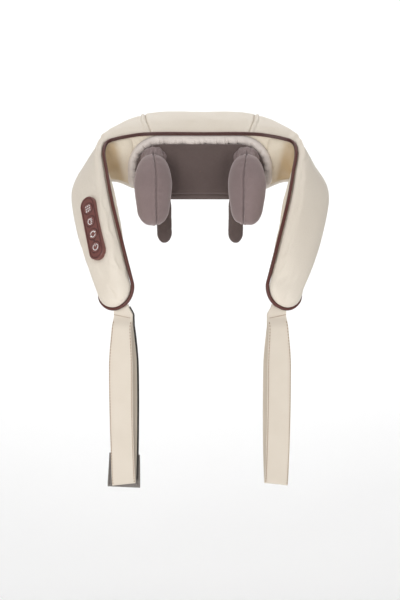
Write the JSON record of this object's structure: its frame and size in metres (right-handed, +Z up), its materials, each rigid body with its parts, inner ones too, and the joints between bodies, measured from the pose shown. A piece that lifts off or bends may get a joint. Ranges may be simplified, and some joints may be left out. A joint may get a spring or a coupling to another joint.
{
  "type": "neck massager",
  "caption": "U-shaped padded neck and shoulder massager with padded kneading heads on a worm-geared shaft, a button panel on one arm, brown piping and a hand loop under each arm.",
  "frame": {"origin": "middle of the flat pad that rests on the nape, on its front face", "axes": "+Z up along the height, -Y out of the nape pad towards the wearer, +X to the side away from the control panel"},
  "size_m": [0.3636, 0.2418, 0.5059],
  "materials": {
    "cream_leather": "satin",
    "liner_leather": "satin",
    "brown_piping": "satin",
    "cream_gathered": "matte",
    "suede": "matte",
    "heater": "satin",
    "foam": "matte",
    "black_plastic": "matte",
    "grey_plastic": "matte",
    "white_acetal": "satin",
    "steel": "satin",
    "brass": "satin",
    "cast_alloy": "satin",
    "battery_sleeve": "gloss",
    "circuit_board": "satin",
    "panel_brown": "satin",
    "webbing": "matte",
    "grey_lining": "matte",
    "hook_grey": "matte"
  },
  "bodies": {
    "collar": {"outer_cover_center": "cream_leather", "outer_cover_left": "cream_leather", "outer_cover_right": "cream_leather", "liner_left": "liner_leather", "liner_right": "liner_leather", "piping": "brown_piping", "gathered_rim": "cream_gathered", "knead_cover": "suede", "nape_pad": "suede", "heater_film": "heater", "back_foam": "foam", "arm_foam_left": "foam", "arm_foam_right": "foam", "arm_stay_left": "black_plastic", "arm_stay_right": "black_plastic", "rear_housing": "black_plastic", "front_plate": "black_plastic", "housing_screws": "steel", "usb_port": "black_plastic", "gearbox_left": "grey_plastic", "gearbox_right": "grey_plastic", "gearbox_screws": "steel", "shaft_bushing_left": "brass", "shaft_bushing_right": "brass", "motor_can": "steel", "motor_cap": "black_plastic", "battery_left": "battery_sleeve", "battery_right": "battery_sleeve", "control_board": "circuit_board", "panel_bezel": "panel_brown", "button_board": "circuit_board", "strap_tab_left": "webbing", "strap_tab_right": "webbing"},
    "drive": {"main_shaft": "steel", "worm_wheel": "white_acetal", "hub_left": "cast_alloy", "hub_right": "cast_alloy", "hub_screws": "steel"},
    "rotor": {"motor_shaft": "steel", "worm": "brass"},
    "left_claw": {"claw_left": "white_acetal", "claw_bushing_left": "brass", "kneading_head_left": "suede", "finger_pad_left": "suede"},
    "right_claw": {"claw_right": "white_acetal", "claw_bushing_right": "brass", "kneading_head_right": "suede", "finger_pad_right": "suede"},
    "heat_key": {"button_heat": "panel_brown"},
    "direction_key": {"button_direction": "panel_brown"},
    "mode_key": {"button_mode": "panel_brown"},
    "power_key": {"button_power": "panel_brown"},
    "left_loop": {"strap_loop_left": "webbing", "strap_lining_left": "grey_lining", "hook_patch": "hook_grey"},
    "right_loop": {"strap_loop_right": "webbing"}
  },
  "joints": [
    {"name": "drive_spin", "type": "hinge", "parent": "collar", "child": "drive", "pos_m": [0, 0.03, 0], "axis": [1, 0, 0], "continuous": true},
    {"name": "rotor_spin", "type": "hinge", "parent": "collar", "child": "rotor", "pos_m": [0, 0.051, 0], "axis": [0, 0, 1], "continuous": true},
    {"name": "left_claw_swivel", "type": "hinge", "parent": "drive", "child": "left_claw", "pos_m": [-0.067, 0.03, 0.002], "axis": [0.9976, 0, 0.0698], "continuous": true},
    {"name": "right_claw_swivel", "type": "hinge", "parent": "drive", "child": "right_claw", "pos_m": [0.067, 0.03, 0.002], "axis": [0.9976, 0, -0.0698], "continuous": true},
    {"name": "heat_press", "type": "slide", "parent": "collar", "child": "heat_key", "axis": [0.6107, 0.7094, -0.3517], "range_m": [0, 0.0008], "stiffness_N_per_m": 600, "springref_m": -0.0004},
    {"name": "direction_press", "type": "slide", "parent": "collar", "child": "direction_key", "axis": [0.6107, 0.7094, -0.3517], "range_m": [0, 0.0008], "stiffness_N_per_m": 600, "springref_m": -0.0004},
    {"name": "mode_press", "type": "slide", "parent": "collar", "child": "mode_key", "axis": [0.6107, 0.7094, -0.3517], "range_m": [0, 0.0008], "stiffness_N_per_m": 600, "springref_m": -0.0004},
    {"name": "power_press", "type": "slide", "parent": "collar", "child": "power_key", "axis": [0.6107, 0.7094, -0.3517], "range_m": [0, 0.0008], "stiffness_N_per_m": 600, "springref_m": -0.0004},
    {"name": "left_loop_swing", "type": "hinge", "parent": "collar", "child": "left_loop", "pos_m": [-0.106, -0.148, -0.187], "axis": [0.9659, -0.2588, 0], "range_deg": [-60, 75]},
    {"name": "right_loop_swing", "type": "hinge", "parent": "collar", "child": "right_loop", "pos_m": [0.106, -0.148, -0.187], "axis": [0.9659, 0.2588, 0], "range_deg": [-60, 75]}
  ],
  "couplings": [
    {"joint": "rotor_spin", "follows": "drive_spin", "ratio": -40},
    {"joint": "left_claw_swivel", "follows": "drive_spin", "ratio": -1},
    {"joint": "right_claw_swivel", "follows": "drive_spin", "ratio": -1}
  ]
}
